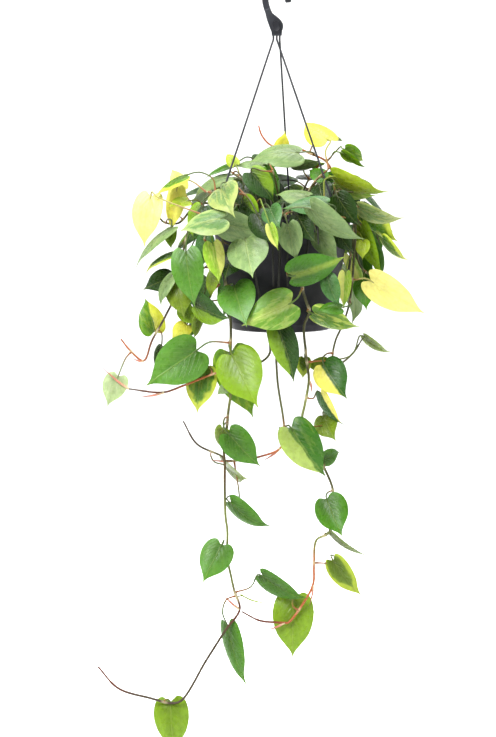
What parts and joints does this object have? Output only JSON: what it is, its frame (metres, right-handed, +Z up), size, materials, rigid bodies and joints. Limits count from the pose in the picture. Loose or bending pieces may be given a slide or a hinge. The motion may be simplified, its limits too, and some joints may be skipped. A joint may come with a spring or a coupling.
{
  "type": "hanging potted philodendron",
  "caption": "Variegated heartleaf philodendron trailing from a dark nursery pot on a three-strand plastic hanger with a hook, for hanging from a rod.",
  "frame": {"origin": "saddle of the hook, where a rod bears, in the middle of the hook's thickness", "axes": "+Z up, -Y toward the pictured side, +X to the right in the picture; the pot's axis is vertical, 6 mm to +X of the saddle"},
  "size_m": [0.3849, 0.3026, 0.9146],
  "materials": {
    "pot": "satin, near-black",
    "hanger": "satin, charcoal",
    "soil": "damp peat mix",
    "plant": "waxy leaf, green with lime and cream"
  },
  "bodies": {
    "root": {"crown_stem_01": "plant", "crown_stem_02": "plant", "crown_stem_03": "plant", "crown_stem_04": "plant", "crown_stem_05": "plant", "crown_stem_06": "plant", "crown_stem_07": "plant", "crown_stem_08": "plant", "crown_stem_09": "plant", "crown_stem_10": "plant", "crown_stem_11": "plant", "crown_stem_12": "plant", "crown_stem_13": "plant", "crown_stem_14": "plant", "crown_stem_15": "plant", "crown_stem_16": "plant", "crown_stem_17": "plant", "crown_stem_18": "plant", "crown_stem_19": "plant", "crown_stem_20": "plant", "crown_stem_21": "plant", "crown_stem_22": "plant", "crown_stem_23": "plant", "crown_stem_24": "plant", "crown_stem_25": "plant", "crown_stem_26": "plant", "crown_stem_27": "plant", "crown_stem_28": "plant", "hanger_hook": "hanger", "hanger_strand_back": "hanger", "hanger_strand_left": "hanger", "hanger_strand_right": "hanger", "pot": "pot", "shoot_right": "plant", "shoot_top": "plant", "shoot_upper_left": "plant", "soil": "soil", "vine_far_left": "plant", "vine_far_right": "plant", "vine_left_long": "plant", "vine_left_reaching": "plant", "vine_middle": "plant", "vine_right_long": "plant"}
  },
  "joints": []
}
